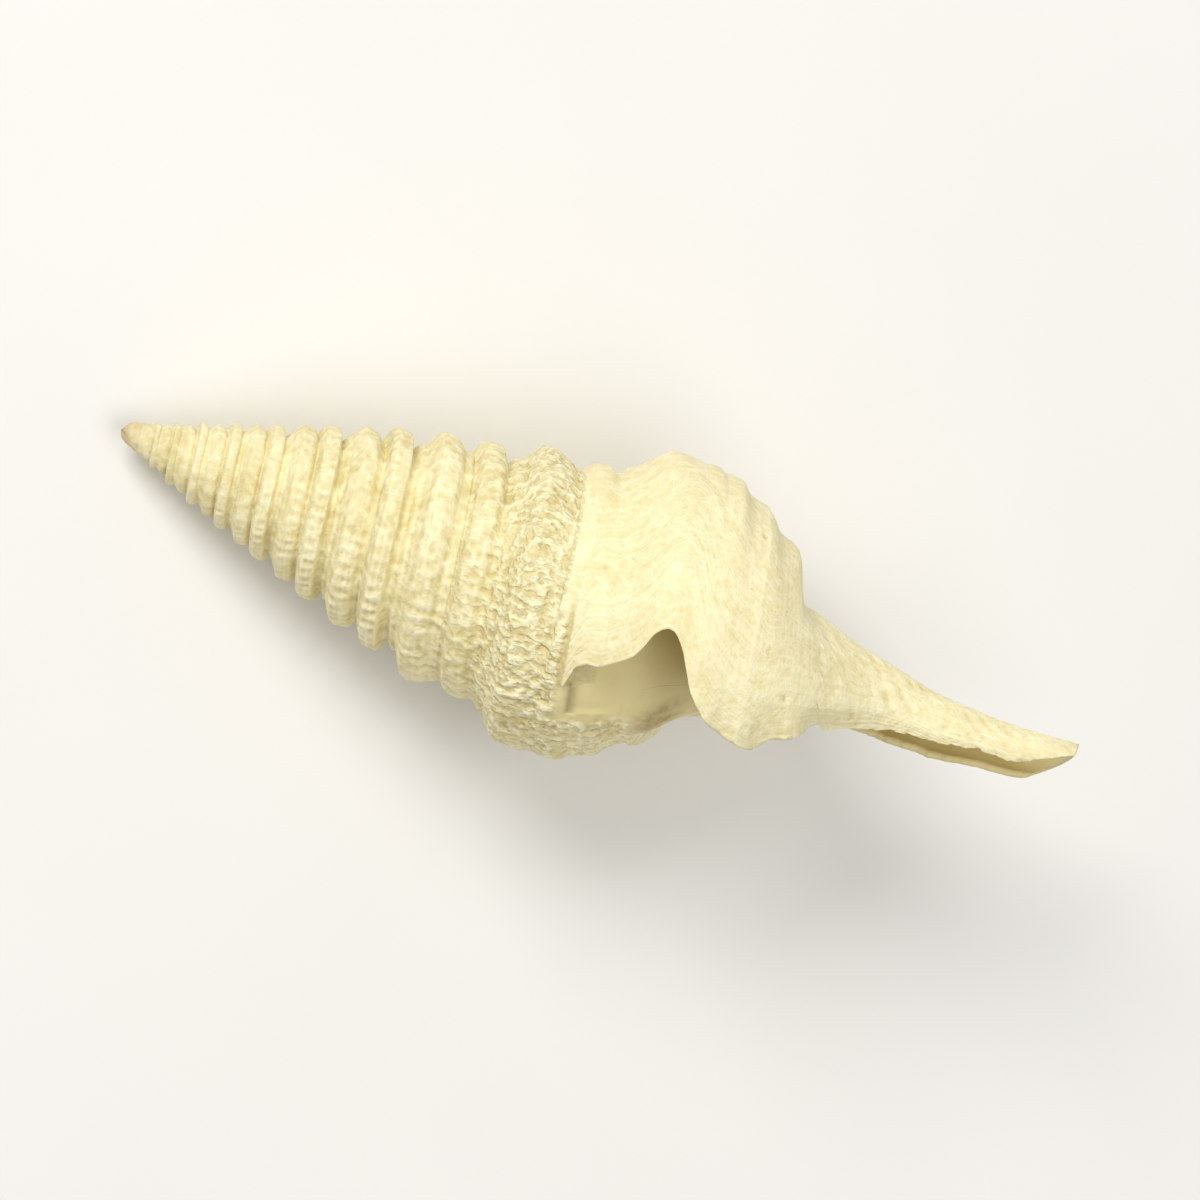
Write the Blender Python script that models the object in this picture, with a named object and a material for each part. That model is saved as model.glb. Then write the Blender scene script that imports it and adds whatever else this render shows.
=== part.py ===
"""A slender, long-canalled seashell of the turrid family, lying on its side with its lip uppermost.

The shell is one piece. Its outside is a spiral strip: a whorl profile that turns about the coiling
axis and grows by a fixed ratio a turn. The last whorl runs on into the base, the neck and the open
canal. The hollow inside the whorls and the gutter of the canal are cut from that body.

In the shell's own frame the coiling axis is +X, from the tip to the canal, and the back of the last
whorl is +Z. Places are measured along the axis from the point where the spiral would vanish, just
beyond the tip. Turns are angles about the axis in degrees: 0 is the back of the last whorl, 90 is
the side that the lip faces, and they grow towards the lip. "Across" is a place as a share of the
keel's place at that turn, and a "share" is a radius as a share of the keel's radius there.
"""

import math

import bmesh
import bpy
from mathutils import Vector

MM = 0.001

# The spiral.
KEEL_PLACE = 27.8 * MM
GROWTH_A_TURN = 1.286
WHORLS = 11
LIP_TURN = 123.0
TIP_PLACE = 1.60 * MM

# How the keel's radius stands to its place: the outline of the spire.
SPIRE_OUTLINE = [
    (1.9 * MM, 0.210),
    (2.4 * MM, 0.275),
    (4.0 * MM, 0.303),
    (5.4 * MM, 0.335),
    (7.4 * MM, 0.347),
    (13.4 * MM, 0.347),
    (16.8 * MM, 0.340),
    (21.8 * MM, 0.320),
    (27.8 * MM, 0.3135),
]

# The whorl from suture to suture: a flat cord below the suture, a groove, and the keel. The suture
# deepens down the spire, and the cord is lower on the last whorl. The keel stands highest at the
# back of the last whorl.
SUTURE = 0.845
SUTURE_SHARE = [(-1080.0, 0.830), (-360.0, 0.745), (0.0, 0.725), (LIP_TURN, 0.765)]
CORD = (0.857, 0.897)
CORD_SHARE = [(-360.0, 0.880), (-180.0, 0.805), (0.0, 0.800), (LIP_TURN, 0.780)]
GROOVE = (0.923, 0.768)
KEEL = (0.997, 1.040)
KEEL_SHARE = [(-70.0, 1.000), (0.0, 1.014), (80.0, 1.000)]
KEEL_FALL = 0.018
WHORL = [SUTURE, *CORD, GROOVE[0], *KEEL]

# The base, in scalloped steps down to the neck.
BASE = [
    (1.118, 0.975),
    (1.145, 0.902),
    (1.186, 0.858),
    (1.210, 0.770),
    (1.245, 0.718),
    (1.267, 0.640),
    (1.280, 0.450),
]
NECK = [
    (1.324, 0.378),
    (1.359, 0.348),
    (1.395, 0.305),
    (1.430, 0.272),
    (1.500, 0.240),
    (1.700, 0.200),
    (2.200, 0.160),
]
NECK_SWELL = [(-330.0, 0.0), (-240.0, 0.22), (-180.0, 0.22), (-30.0, 0.0)]
NECK_SWELL_ACROSS = [(1.270, 0.0), (1.290, 1.0), (1.370, 1.0), (1.500, 0.0)]

# The canal: its outer radius at places along it, and its slanting end.
CANAL_START = 42.2 * MM
CANAL_END = 51.5 * MM
CANAL_END_SLANT = 2.2 * MM
CANAL_BLEND = (39.25 * MM, 43.7 * MM)
CANAL_RADIUS = [
    (38.8 * MM, 2.57 * MM),
    (40.2 * MM, 2.07 * MM),
    (41.7 * MM, 1.83 * MM),
    (43.7 * MM, 1.60 * MM),
    (44.7 * MM, 1.57 * MM),
    (46.7 * MM, 1.34 * MM),
    (48.7 * MM, 1.25 * MM),
    (51.6 * MM, 1.16 * MM),
]

# How far the middle of the shell bows towards its back, at places along it.
BOW = [
    (1.5 * MM, 0.0),
    (5.1 * MM, -0.14 * MM),
    (13.0 * MM, -0.14 * MM),
    (21.7 * MM, -0.35 * MM),
    (28.9 * MM, -0.15 * MM),
    (32.8 * MM, 0.0),
    (36.8 * MM, 0.25 * MM),
    (41.7 * MM, 0.43 * MM),
    (44.7 * MM, 0.27 * MM),
    (46.7 * MM, 0.38 * MM),
    (48.7 * MM, 0.51 * MM),
    (51.6 * MM, 0.84 * MM),
]

# The free edge of the lip, as turns at places across the last whorl: the deep notch above the keel,
# the lobe below it, and the wavy edge along the canal.
LIP_EDGE = [
    (0.845, 123.0),
    (0.858, 120.0),
    (0.887, 113.0),
    (0.930, 110.0),
    (0.980, 100.0),
    (1.000, 94.0),
    (1.020, 88.5),
    (1.045, 88.5),
    (1.072, 98.0),
    (1.093, 106.0),
    (1.125, 113.5),
    (1.190, 122.5),
    (1.245, 117.5),
    (1.267, 119.0),
    (1.280, 128.0),
]
CANAL_NEAR_EDGE = [
    (38.8 * MM, 129.0),
    (39.6 * MM, 126.0),
    (40.3 * MM, 120.0),
    (41.7 * MM, 122.0),
    (43.7 * MM, 120.0),
    (46.2 * MM, 110.0),
    (49.2 * MM, 110.0),
    (49.9 * MM, 92.0),
    (50.6 * MM, 78.0),
    (51.4 * MM, 60.0),
]
CANAL_FAR_EDGE = [(37.0 * MM, 150.0), (38.8 * MM, 176.0), (40.3 * MM, 190.0), (41.7 * MM, 196.0)]

# The wall: thin at the lip and thicker inside, and the depth of the glaze on the inner wall.
WALL_GROWTH = 0.25 * MM
WALL_GROWTH_TURN = 90.0
CANAL_WALL = 0.33 * MM
LEAST_WALL = 0.30 * MM
GLAZE_DEPTH = 0.12 * MM
LIP_FACE_DEPTH = 0.90 * MM
HOLLOW_SHARE = [
    (0.880, 0.735),
    (0.925, 0.745),
    (0.965, 0.865),
    (1.000, 0.955),
    (1.045, 0.960),
    (1.100, 0.945),
    (1.150, 0.870),
    (1.200, 0.790),
    (1.236, 0.690),
    (1.254, 0.590),
    (1.266, 0.420),
]
HOLLOW_TURNS_BACK = 2.6
GLAZE_END_TURN = 143.0
GLAZE_END = [
    (27.0 * MM, 138.0),
    (29.5 * MM, 139.0),
    (31.3 * MM, 152.0),
    (34.0 * MM, 160.0),
    (36.5 * MM, 172.0),
    (40.0 * MM, 200.0),
    (42.0 * MM, 206.0),
]

# How the shell rests: the lip's side up, and the axis rising to the canal, so that it lies on the
# last whorl and on the spire. It is worn flat by this much where it rests.
REST_RISE = 14.7
FLAT_SPOT_DEPTH = 0.15 * MM

COLUMNS = 36
HOLLOW_STEP = 18.0


def smooth_step(x):
    """0 below 0, 1 above 1, and an even slope between."""
    x = min(1.0, max(0.0, x))
    return x * x * (3 - 2 * x)


def mix(a, b, share):
    """The value a given share of the way from a to b."""
    return a + (b - a) * share


def along(table, x):
    """The value at x of a table of pairs, straight between them and level beyond its ends."""
    for (x0, y0), (x1, y1) in zip(table, table[1:]):
        if x <= x1:
            return mix(y0, y1, max(0.0, x - x0) / (x1 - x0))
    return table[-1][1]


def keel_place(turn):
    """How far along the axis the keel is at a turn."""
    return KEEL_PLACE * GROWTH_A_TURN ** (turn / 360)


def keel_radius(turn):
    """How far from the axis the keel is at a turn."""
    place = keel_place(turn)
    return place * along(SPIRE_OUTLINE, place)


def outer_share(across, turn):
    """The outside's radius across a whorl, as a share of the keel's."""
    growth = keel_radius(turn + 360) / keel_radius(turn)
    cord = along(CORD_SHARE, turn)
    keel = along(KEEL_SHARE, turn)
    profile = [
        (SUTURE, along(SUTURE_SHARE, turn)),
        (CORD[0], cord),
        (CORD[1], cord),
        GROOVE,
        (KEEL[0], keel),
        (KEEL[1], keel - KEEL_FALL),
        (SUTURE * GROWTH_A_TURN, along(SUTURE_SHARE, turn + 360) * growth),
        *BASE,
        *NECK,
    ]
    swell = along(NECK_SWELL, turn) * along(NECK_SWELL_ACROSS, across)
    return along(profile, across) * (1 + swell)


def outer_radius(turn, place):
    """The outside's radius at a turn and a place, from the whorl into the canal."""
    whorl = keel_radius(turn) * outer_share(place / keel_place(turn), turn)
    start, end = CANAL_BLEND
    return mix(whorl, along(CANAL_RADIUS, place), smooth_step((place - start) / (end - start)))


def canal_end_place(turn):
    """Where the canal's slanting end is at a turn: furthest along at the back."""
    underside = -math.cos(math.radians(turn))
    return CANAL_END - CANAL_END_SLANT * max(0.0, (underside + 0.5) / 1.5) ** 1.5


def point(turn, place, radius):
    """A point in the shell's own frame."""
    angle = math.radians(turn)
    bow = along(BOW, place)
    return Vector((place, -radius * math.sin(angle), radius * math.cos(angle) + bow))


def whorl_row(across):
    """A row of the strip that keeps its place across the whorl."""
    return lambda turn: across * keel_place(turn)


def neck_row(share):
    """A row between the foot of the base and the start of the canal."""
    return lambda turn: mix(BASE[-1][0] * keel_place(turn), CANAL_START, share)


def canal_row(share):
    """A row between the start of the canal and its slanting end."""
    return lambda turn: mix(CANAL_START, canal_end_place(turn), share)


def strip_turn(share, start, lip):
    """The turn of a column of the last strip, drawn to the row's own start and lip edge."""
    even = LIP_TURN - 360 * (1 - share)
    at_start = smooth_step((0.5 - share) / 0.5)
    at_lip = smooth_step((share - 0.6) / 0.4)
    return even + at_start * (start - (LIP_TURN - 360)) + at_lip * (lip - LIP_TURN)


def last_strip_rows():
    """The last whorl's rows below the suture, each with its places, start turn and lip turn."""
    first = LIP_TURN - 360
    rows = [(whorl_row(across), first, along(LIP_EDGE, across)) for across in WHORL]
    base = [SUTURE * GROWTH_A_TURN] + [across for across, _ in BASE]
    rows += [(whorl_row(across), first, along(LIP_EDGE, across)) for across in base]
    past_cut = 4.0
    for share in (0.25, 0.5, 0.75, 1.0):
        places = neck_row(share)
        far = along(CANAL_FAR_EDGE, CANAL_START) - past_cut - 360
        near = along(CANAL_NEAR_EDGE, places(LIP_TURN)) + past_cut * share
        rows.append((places, mix(first, far, smooth_step(share)), near))
    for share in (0.25, 0.5, 0.75, 1.0):
        places = canal_row(share)
        far = along(CANAL_FAR_EDGE, CANAL_END) - past_cut - 360
        near = along(CANAL_NEAR_EDGE, places(LIP_TURN)) + past_cut
        rows.append((places, far, near))
    return rows


def add_fan(mesh, ring, centre):
    """Close a ring of vertices with triangles to one vertex."""
    for a, b in zip(ring, ring[1:] + ring[:1]):
        mesh.faces.new((a, b, centre))


def add_zip(mesh, left, right):
    """Join two chains of vertices that start at the same vertex with triangles."""
    mesh.faces.new((left[0], left[1], right[1]))
    i = j = 1
    while i < len(left) - 1 or j < len(right) - 1:
        if j == len(right) - 1:
            step_left = True
        elif i == len(left) - 1:
            step_left = False
        else:
            across_left = (left[i + 1].co - right[j].co).length
            across_right = (left[i].co - right[j + 1].co).length
            step_left = across_left < across_right
        tip = left[i + 1] if step_left else right[j + 1]
        mesh.faces.new((left[i], right[j], tip))
        if step_left:
            i += 1
        else:
            j += 1


def body_mesh():
    """The shell's outside as one closed body, its mouth and canal still closed over."""
    mesh = bmesh.new()
    rows = []
    for whorl_number in range(1, WHORLS):
        start = LIP_TURN - 360 * (WHORLS + 1 - whorl_number)
        for across in WHORL:
            places = whorl_row(across)
            rows.append([(start + 360 * i / COLUMNS, places) for i in range(COLUMNS + 1)])
    shared_rows = len(rows)
    for places, start, lip in last_strip_rows():
        turns = [strip_turn(i / COLUMNS, start, lip) for i in range(COLUMNS + 1)]
        rows.append([(turn, places) for turn in turns])

    def vertex(turn, places):
        place = places(turn)
        return mesh.verts.new(point(turn, place, outer_radius(turn, place)))

    grid = [[vertex(turn, places) for turn, places in row[:-1]] for row in rows]
    for number, row in enumerate(rows):
        shared = number <= shared_rows
        grid[number].append(grid[number + len(WHORL)][0] if shared else vertex(*row[-1]))
    for row, next_row in zip(grid, grid[1:]):
        for i in range(COLUMNS):
            mesh.faces.new((row[i], row[i + 1], next_row[i + 1], next_row[i]))

    tip_ring = grid[0] + [row[0] for row in reversed(grid[1 : len(WHORL)])]
    add_fan(mesh, tip_ring, mesh.verts.new(point(0, TIP_PLACE, 0)))

    lip = [row[-1] for row in grid[shared_rows:]]
    wall_edge = [row[0] for row in grid[shared_rows + len(WHORL) :]]
    faced = len(WHORL) + 1 + len(BASE)
    inner_lip = []
    for number in range(1, faced):
        turn, places = rows[shared_rows + number][-1]
        radius = outer_radius(turn, places(turn)) - LIP_FACE_DEPTH
        inner_lip.append(mesh.verts.new(point(turn, places(turn), radius)))
    mesh.faces.new((lip[0], lip[1], inner_lip[0]))
    for i in range(len(inner_lip) - 1):
        mesh.faces.new((lip[i + 1], lip[i + 2], inner_lip[i + 1], inner_lip[i]))
    mesh.faces.new((lip[faced - 1], lip[faced], inner_lip[-1]))
    add_zip(mesh, [lip[0], *inner_lip, *lip[faced:]], wall_edge)

    end_ring = grid[-1]
    middle = sum((v.co for v in end_ring), Vector()) / len(end_ring)
    add_fan(mesh, end_ring, mesh.verts.new(middle))
    return mesh


def hollow_loop(turn):
    """The outline of the hollow inside the whorl at a turn, from the suture round to the suture."""
    inside = smooth_step((LIP_TURN - turn) / WALL_GROWTH_TURN)
    thinner = WALL_GROWTH * inside
    to_mouth = smooth_step((turn - 20) / 60)
    bend = smooth_step((turn - 60) / (GLAZE_END_TURN - 60))

    def bent(place):
        return turn + bend * (along(GLAZE_END, place) - GLAZE_END_TURN)

    def floor_radius(place):
        return outer_radius(bent(place) - 360, place) - GLAZE_DEPTH

    keel = keel_place(turn)
    first, last = HOLLOW_SHARE[0][0] * keel, HOLLOW_SHARE[-1][0] * keel
    front = mix(last + 0.5 * MM, 41.5 * MM, to_mouth)
    loop = []
    for across, share in HOLLOW_SHARE[1:]:
        place = across * keel
        wall = LEAST_WALL + 0.5 * thinner
        roof = min(keel_radius(bent(place)) * share - thinner, outer_radius(bent(place), place) - wall)
        loop.append((place, max(roof, floor_radius(place) + 0.15 * MM)))
    wall = CANAL_WALL + 0.3 * MM * (1 - to_mouth)
    for share in (0.5, 1.0):
        place = mix(last, front, share)
        loop.append((place, min(loop[-1][1], outer_radius(bent(place), place) - wall)))
    front_roof = loop[-1][1]
    steps = 8
    for step in range(steps + 1):
        place = mix(front, first, step / steps)
        radius = floor_radius(place)
        if step == 0:
            radius = min(radius, front_roof - 0.4 * MM)
        loop.append((place, radius))
    return [point(bent(place), place, radius) for place, radius in loop]


def canal_loop(place):
    """The outline of the canal's gutter at a place, open through the slit between its edges."""
    near = along(CANAL_NEAR_EDGE, place)
    far = along(CANAL_FAR_EDGE, place)
    near_radius = outer_radius(near, place) - CANAL_WALL
    far_radius = outer_radius(far - 360, place) - CANAL_WALL
    near_corner = point(near, place, near_radius)
    far_corner = point(far, place, far_radius)
    middle = (near_corner + far_corner) / 2
    half = (far_corner - near_corner) / 2
    inward = point((near + far) / 2 + 180, place, 1) - point(0, place, 0)
    depth = mix(0.5 * MM, 1.5 * MM, smooth_step((place - 39 * MM) / (2 * MM)))
    roundness = smooth_step((place - 39.3 * MM) / (3.5 * MM))
    loop = []
    steps = 12
    for step in range(steps + 1):
        share = step / steps
        angle = math.pi * share
        bowl = middle - half * math.cos(angle) + inward.normalized() * depth * math.sin(angle)
        turn = mix(near, far - 360, share)
        tube = point(turn, place, mix(near_radius, far_radius, share))
        loop.append(bowl.lerp(tube, roundness))
    beyond = 2.0 * MM
    for share in (0.0, 0.5, 1.0):
        radius = mix(far_radius, near_radius, share) + CANAL_WALL + beyond
        loop.append(point(mix(far, near, share), place, radius))
    return loop


def loft(loops, front):
    """A closed body through a run of loops with the same number of points.

    Its ends are closed between the loop's two sides, which part at its last point and meet again
    after the point numbered front.
    """
    mesh = bmesh.new()
    rings = [[mesh.verts.new(co) for co in loop] for loop in loops]
    for ring, next_ring in zip(rings, rings[1:]):
        count = len(ring)
        for i in range(count):
            j = (i + 1) % count
            mesh.faces.new((ring[i], ring[j], next_ring[j], next_ring[i]))
    for ring in (rings[0], rings[-1]):
        add_zip(mesh, [ring[-1], *ring[: front + 1]], [*reversed(ring[front + 1 :])])
    return mesh


def add_object(name, mesh):
    """An object from a mesh whose faces are turned outwards and cut into triangles."""
    bmesh.ops.triangulate(mesh, faces=mesh.faces[:])
    bmesh.ops.recalc_face_normals(mesh, faces=mesh.faces[:])
    data = bpy.data.meshes.new(name)
    mesh.to_mesh(data)
    mesh.free()
    made = bpy.data.objects.new(name, data)
    bpy.context.scene.collection.objects.link(made)
    return made


def cut(target, cutter):
    """Cut one body from another, and leave the cutter out of the model."""
    cutter.hide_render = True
    cutter.display_type = "WIRE"
    modifier = target.modifiers.new(cutter.name, "BOOLEAN")
    modifier.operation = "DIFFERENCE"
    modifier.solver = "EXACT"
    modifier.object = cutter


def shell_material():
    """Cream shell, weathered to a dull surface."""
    material = bpy.data.materials.new("shell")
    material.use_nodes = True
    shader = material.node_tree.nodes["Principled BSDF"]
    shader.inputs["Base Color"].default_value = (0.80, 0.72, 0.42, 1.0)
    shader.inputs["Roughness"].default_value = 0.55
    shader.inputs["Metallic"].default_value = 0.0
    return material


def remove_all_objects():
    """Empty the scene."""
    for old in list(bpy.data.objects):
        bpy.data.objects.remove(old, do_unlink=True)


def box_of(model):
    """The lowest and highest corners of a model as it stands, cuts made."""
    evaluated = model.evaluated_get(bpy.context.evaluated_depsgraph_get())
    corners = [model.matrix_world @ v.co for v in evaluated.data.vertices]
    low = Vector([min(c[i] for c in corners) for i in range(3)])
    high = Vector([max(c[i] for c in corners) for i in range(3)])
    return low, high


def main():
    remove_all_objects()
    shell = add_object("shell", body_mesh())
    shell.data.materials.append(shell_material())
    shell.data.shade_smooth()
    shell.data.set_sharp_from_angle(angle=math.radians(35))

    hollow_start = LIP_TURN - 360 * HOLLOW_TURNS_BACK
    count = round((GLAZE_END_TURN - hollow_start) / HOLLOW_STEP)
    turns = [mix(hollow_start, GLAZE_END_TURN, i / count) for i in range(count + 1)]
    hollow = add_object("hollow", loft([hollow_loop(turn) for turn in turns], len(HOLLOW_SHARE)))
    places = [39.0, 40.0, 41.0, 42.2, 43.7, 45.0, 46.2, 47.4, 48.7, 50.0, 53.0]
    canal = add_object("canal_gutter", loft([canal_loop(place * MM) for place in places], 6))
    for cutter in (hollow, canal):
        cutter.parent = shell
        cut(shell, cutter)

    shell.rotation_euler = (math.radians(-90), math.radians(-REST_RISE), 0)
    bpy.context.view_layer.update()
    low, high = box_of(shell)
    middle = (low + high) / 2
    shell.location = (-middle.x, -middle.y, -low.z - FLAT_SPOT_DEPTH)

    floor = bmesh.new()
    bmesh.ops.create_cube(floor, size=1.0)
    bmesh.ops.scale(floor, vec=(80 * MM, 40 * MM, 10 * MM), verts=floor.verts)
    bmesh.ops.translate(floor, vec=(0, 0, -5 * MM), verts=floor.verts)
    cut(shell, add_object("ground", floor))


main()
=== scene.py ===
"""The turrid seashell with its fine surface, on a pale floor, from the photograph's viewing angle.

The fine shell is built as the part is: a spiral strip about the coiling axis, with the hollow and
the canal's gutter cut from it. It adds the cords, threads, beads, growth lines and erosion.

In the shell's own frame the coiling axis is +X, from the tip to the canal, the back of the last
whorl is +Z, and the lip faces -Y. Places are measured along the axis from where the spiral would
vanish. Turns are angles about the axis in degrees: 0 is the back of the last whorl, and they grow
towards the lip. "Across" is a place as a share of the keel's place at that turn, and a "share" is a
radius as a share of the keel's radius there. Depths of relief are in millimetres.
"""

import math

import bmesh
import bpy
import numpy as np
from mathutils import Matrix, Vector, noise


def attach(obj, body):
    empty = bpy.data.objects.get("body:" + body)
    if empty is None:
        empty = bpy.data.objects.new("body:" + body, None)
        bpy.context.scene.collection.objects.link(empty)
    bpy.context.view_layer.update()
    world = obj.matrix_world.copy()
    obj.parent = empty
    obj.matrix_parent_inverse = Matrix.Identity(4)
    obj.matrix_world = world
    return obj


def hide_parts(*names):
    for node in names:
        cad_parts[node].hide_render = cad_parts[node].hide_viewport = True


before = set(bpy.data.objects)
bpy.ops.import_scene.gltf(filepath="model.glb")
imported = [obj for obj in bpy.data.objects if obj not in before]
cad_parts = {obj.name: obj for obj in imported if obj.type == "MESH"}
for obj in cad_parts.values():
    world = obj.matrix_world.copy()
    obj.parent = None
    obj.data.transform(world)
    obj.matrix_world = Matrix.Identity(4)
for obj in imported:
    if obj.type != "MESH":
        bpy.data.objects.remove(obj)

MM = 0.001

# The spiral. The tip's radii are at places along the axis, and the spire's outline gives the keel's
# radius as a share of its place. Older whorls are worn, in the stretches of turns given here.
KEEL_PLACE = 27.8 * MM
GROWTH_A_TURN = 1.286
WHORLS = 11
LIP_TURN = 123.0
TIP_PLACE = 1.60 * MM
TIP_RADIUS = [
    (1.60 * MM, 0.05 * MM),
    (1.70 * MM, 0.26 * MM),
    (1.80 * MM, 0.38 * MM),
    (2.00 * MM, 0.54 * MM),
    (2.20 * MM, 0.61 * MM),
    (2.60 * MM, 0.71 * MM),
    (3.20 * MM, 0.92 * MM),
    (4.00 * MM, 1.20 * MM),
    (5.00 * MM, 1.56 * MM),
]
SMOOTH_TIP = (-3600.0, -2700.0)
WORN_TIP = (-2400.0, -1500.0)
SPIRE_OUTLINE = [
    (1.9 * MM, 0.270),
    (2.4 * MM, 0.290),
    (4.0 * MM, 0.303),
    (5.4 * MM, 0.335),
    (7.4 * MM, 0.347),
    (13.4 * MM, 0.347),
    (16.8 * MM, 0.340),
    (21.8 * MM, 0.320),
    (27.8 * MM, 0.3135),
]

# The whorl from suture to suture: the suture, a flat cord, a groove with a thread in it, the
# rounded keel, and the slope down to the next suture. A row is a place across, then its share of
# the keel's radius at each of these turns.
STATIONS = [-1440.0, -1080.0, -720.0, -360.0, -180.0, 0.0, 60.0]
WHORL = [
    (0.845, 0.840, 0.840, 0.850, 0.750, 0.750, 0.725, 0.765),
    (0.851, 0.857, 0.857, 0.872, 0.738, 0.764, 0.728, 0.762),
    (0.857, 0.866, 0.868, 0.884, 0.815, 0.779, 0.738, 0.765),
    (0.863, 0.870, 0.872, 0.884, 0.868, 0.792, 0.778, 0.775),
    (0.872, 0.870, 0.872, 0.884, 0.884, 0.800, 0.797, 0.787),
    (0.893, 0.868, 0.876, 0.880, 0.888, 0.808, 0.808, 0.792),
    (0.903, 0.845, 0.868, 0.874, 0.882, 0.794, 0.785, 0.788),
    (0.909, 0.775, 0.770, 0.785, 0.876, 0.785, 0.777, 0.786),
    (0.917, 0.758, 0.748, 0.760, 0.830, 0.785, 0.788, 0.792),
    (0.925, 0.758, 0.750, 0.758, 0.772, 0.794, 0.800, 0.802),
    (0.933, 0.806, 0.802, 0.808, 0.775, 0.826, 0.848, 0.822),
    (0.941, 0.820, 0.818, 0.826, 0.824, 0.840, 0.855, 0.832),
    (0.949, 0.826, 0.824, 0.828, 0.834, 0.850, 0.872, 0.842),
    (0.954, 0.880, 0.875, 0.835, 0.834, 0.868, 0.896, 0.856),
    (0.961, 0.896, 0.892, 0.872, 0.840, 0.892, 0.912, 0.872),
    (0.968, 0.925, 0.925, 0.890, 0.888, 0.918, 0.935, 0.892),
    (0.977, 0.976, 0.958, 0.958, 0.915, 0.952, 0.966, 0.918),
    (0.986, 1.002, 0.990, 0.994, 0.962, 0.980, 0.990, 0.944),
    (0.997, 1.010, 1.000, 1.008, 1.000, 0.996, 1.011, 0.972),
    (1.010, 1.002, 0.990, 1.002, 1.006, 0.989, 1.011, 0.990),
    (1.028, 0.998, 0.986, 0.997, 0.986, 0.987, 1.008, 0.998),
    (1.040, 0.990, 0.974, 0.986, 0.981, 0.986, 1.001, 0.996),
    (1.052, 0.955, 0.932, 0.948, 0.958, 0.979, 0.996, 0.990),
    (1.062, 0.900, 0.908, 0.919, 0.946, 0.973, 1.000, 0.985),
    (1.069, 0.892, 0.890, 0.918, 0.936, 0.972, 1.002, 0.982),
    (1.075, 1.010, 0.888, 0.922, 0.927, 0.973, 1.001, 0.980),
    (1.081, 1.062, 0.975, 0.922, 0.917, 0.973, 0.998, 0.979),
]
PAST_KEEL = 0.975
SUTURE = WHORL[0][0]
ROUNDING = 0.002
ROUNDING_SAMPLES = 5
GLAZE_SAMPLES = 13
WORN_SHARE = 0.93
MOST_WORN = 0.4
LIP_BLEND_TURN = 20.0

# The base and the neck: a row is a place across, then its share where the base is scalloped, at the
# back and the underside, and its share where it is even, on the lip's side and in the mouth. The
# base's foot stands back on the near side, and the neck swells on the underside.
BASE = [
    (1.100, 0.980, 0.970),
    (1.120, 0.976, 0.950),
    (1.134, 0.930, 0.932),
    (1.146, 0.902, 0.915),
    (1.158, 0.893, 0.900),
    (1.178, 0.875, 0.872),
    (1.191, 0.842, 0.850),
    (1.203, 0.790, 0.828),
    (1.217, 0.757, 0.798),
    (1.235, 0.732, 0.756),
    (1.247, 0.724, 0.724),
    (1.259, 0.698, 0.690),
    (1.269, 0.645, 0.658),
    (1.280, 0.480, 0.622),
    (1.292, 0.425, 0.582),
]
NECK = [
    (1.308, 0.395, 0.515),
    (1.330, 0.375, 0.445),
    (1.360, 0.347, 0.375),
    (1.395, 0.305, 0.318),
    (1.430, 0.272, 0.276),
    (1.500, 0.240, 0.240),
    (1.700, 0.200, 0.200),
    (2.200, 0.160, 0.160),
]
EVEN_SIDE = [(-200.0, 1.0), (-186.0, 0.0), (30.0, 0.0), (65.0, 1.0), (103.0, 1.0), (118.0, 0.0)]
FOOT_START = 1.19
FOOT_REACH = 0.06
FOOT_SHIFT = [(-20.0, 0.0), (0.0, 0.003), (20.0, 0.009), (40.0, 0.015), (65.0, 0.015), (95.0, 0.0)]
NECK_SWELL = [(-330.0, 0.0), (-240.0, 0.22), (-180.0, 0.22), (-30.0, 0.0)]
NECK_SWELL_ACROSS = [(1.245, 0.0), (1.315, 1.0), (1.390, 1.0), (1.520, 0.0)]

# The canal.
CANAL_START = 42.2 * MM
CANAL_END = 51.48 * MM
CANAL_END_SLANT = 2.2 * MM
CANAL_BLEND = (39.25 * MM, 43.7 * MM)
CANAL_RADIUS = [
    (38.8 * MM, 2.57 * MM),
    (40.2 * MM, 2.07 * MM),
    (41.7 * MM, 1.83 * MM),
    (43.7 * MM, 1.60 * MM),
    (44.7 * MM, 1.57 * MM),
    (46.7 * MM, 1.34 * MM),
    (48.7 * MM, 1.25 * MM),
    (51.6 * MM, 1.16 * MM),
]

# How far the middle of the shell bows towards its back, at places along it.
BOW = [
    (1.5 * MM, 0.0),
    (5.1 * MM, -0.14 * MM),
    (13.0 * MM, -0.14 * MM),
    (21.7 * MM, -0.35 * MM),
    (28.9 * MM, -0.15 * MM),
    (32.8 * MM, 0.0),
    (36.8 * MM, 0.25 * MM),
    (41.7 * MM, 0.43 * MM),
    (44.7 * MM, 0.27 * MM),
    (46.7 * MM, 0.38 * MM),
    (48.7 * MM, 0.51 * MM),
    (51.6 * MM, 0.84 * MM),
]

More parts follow.
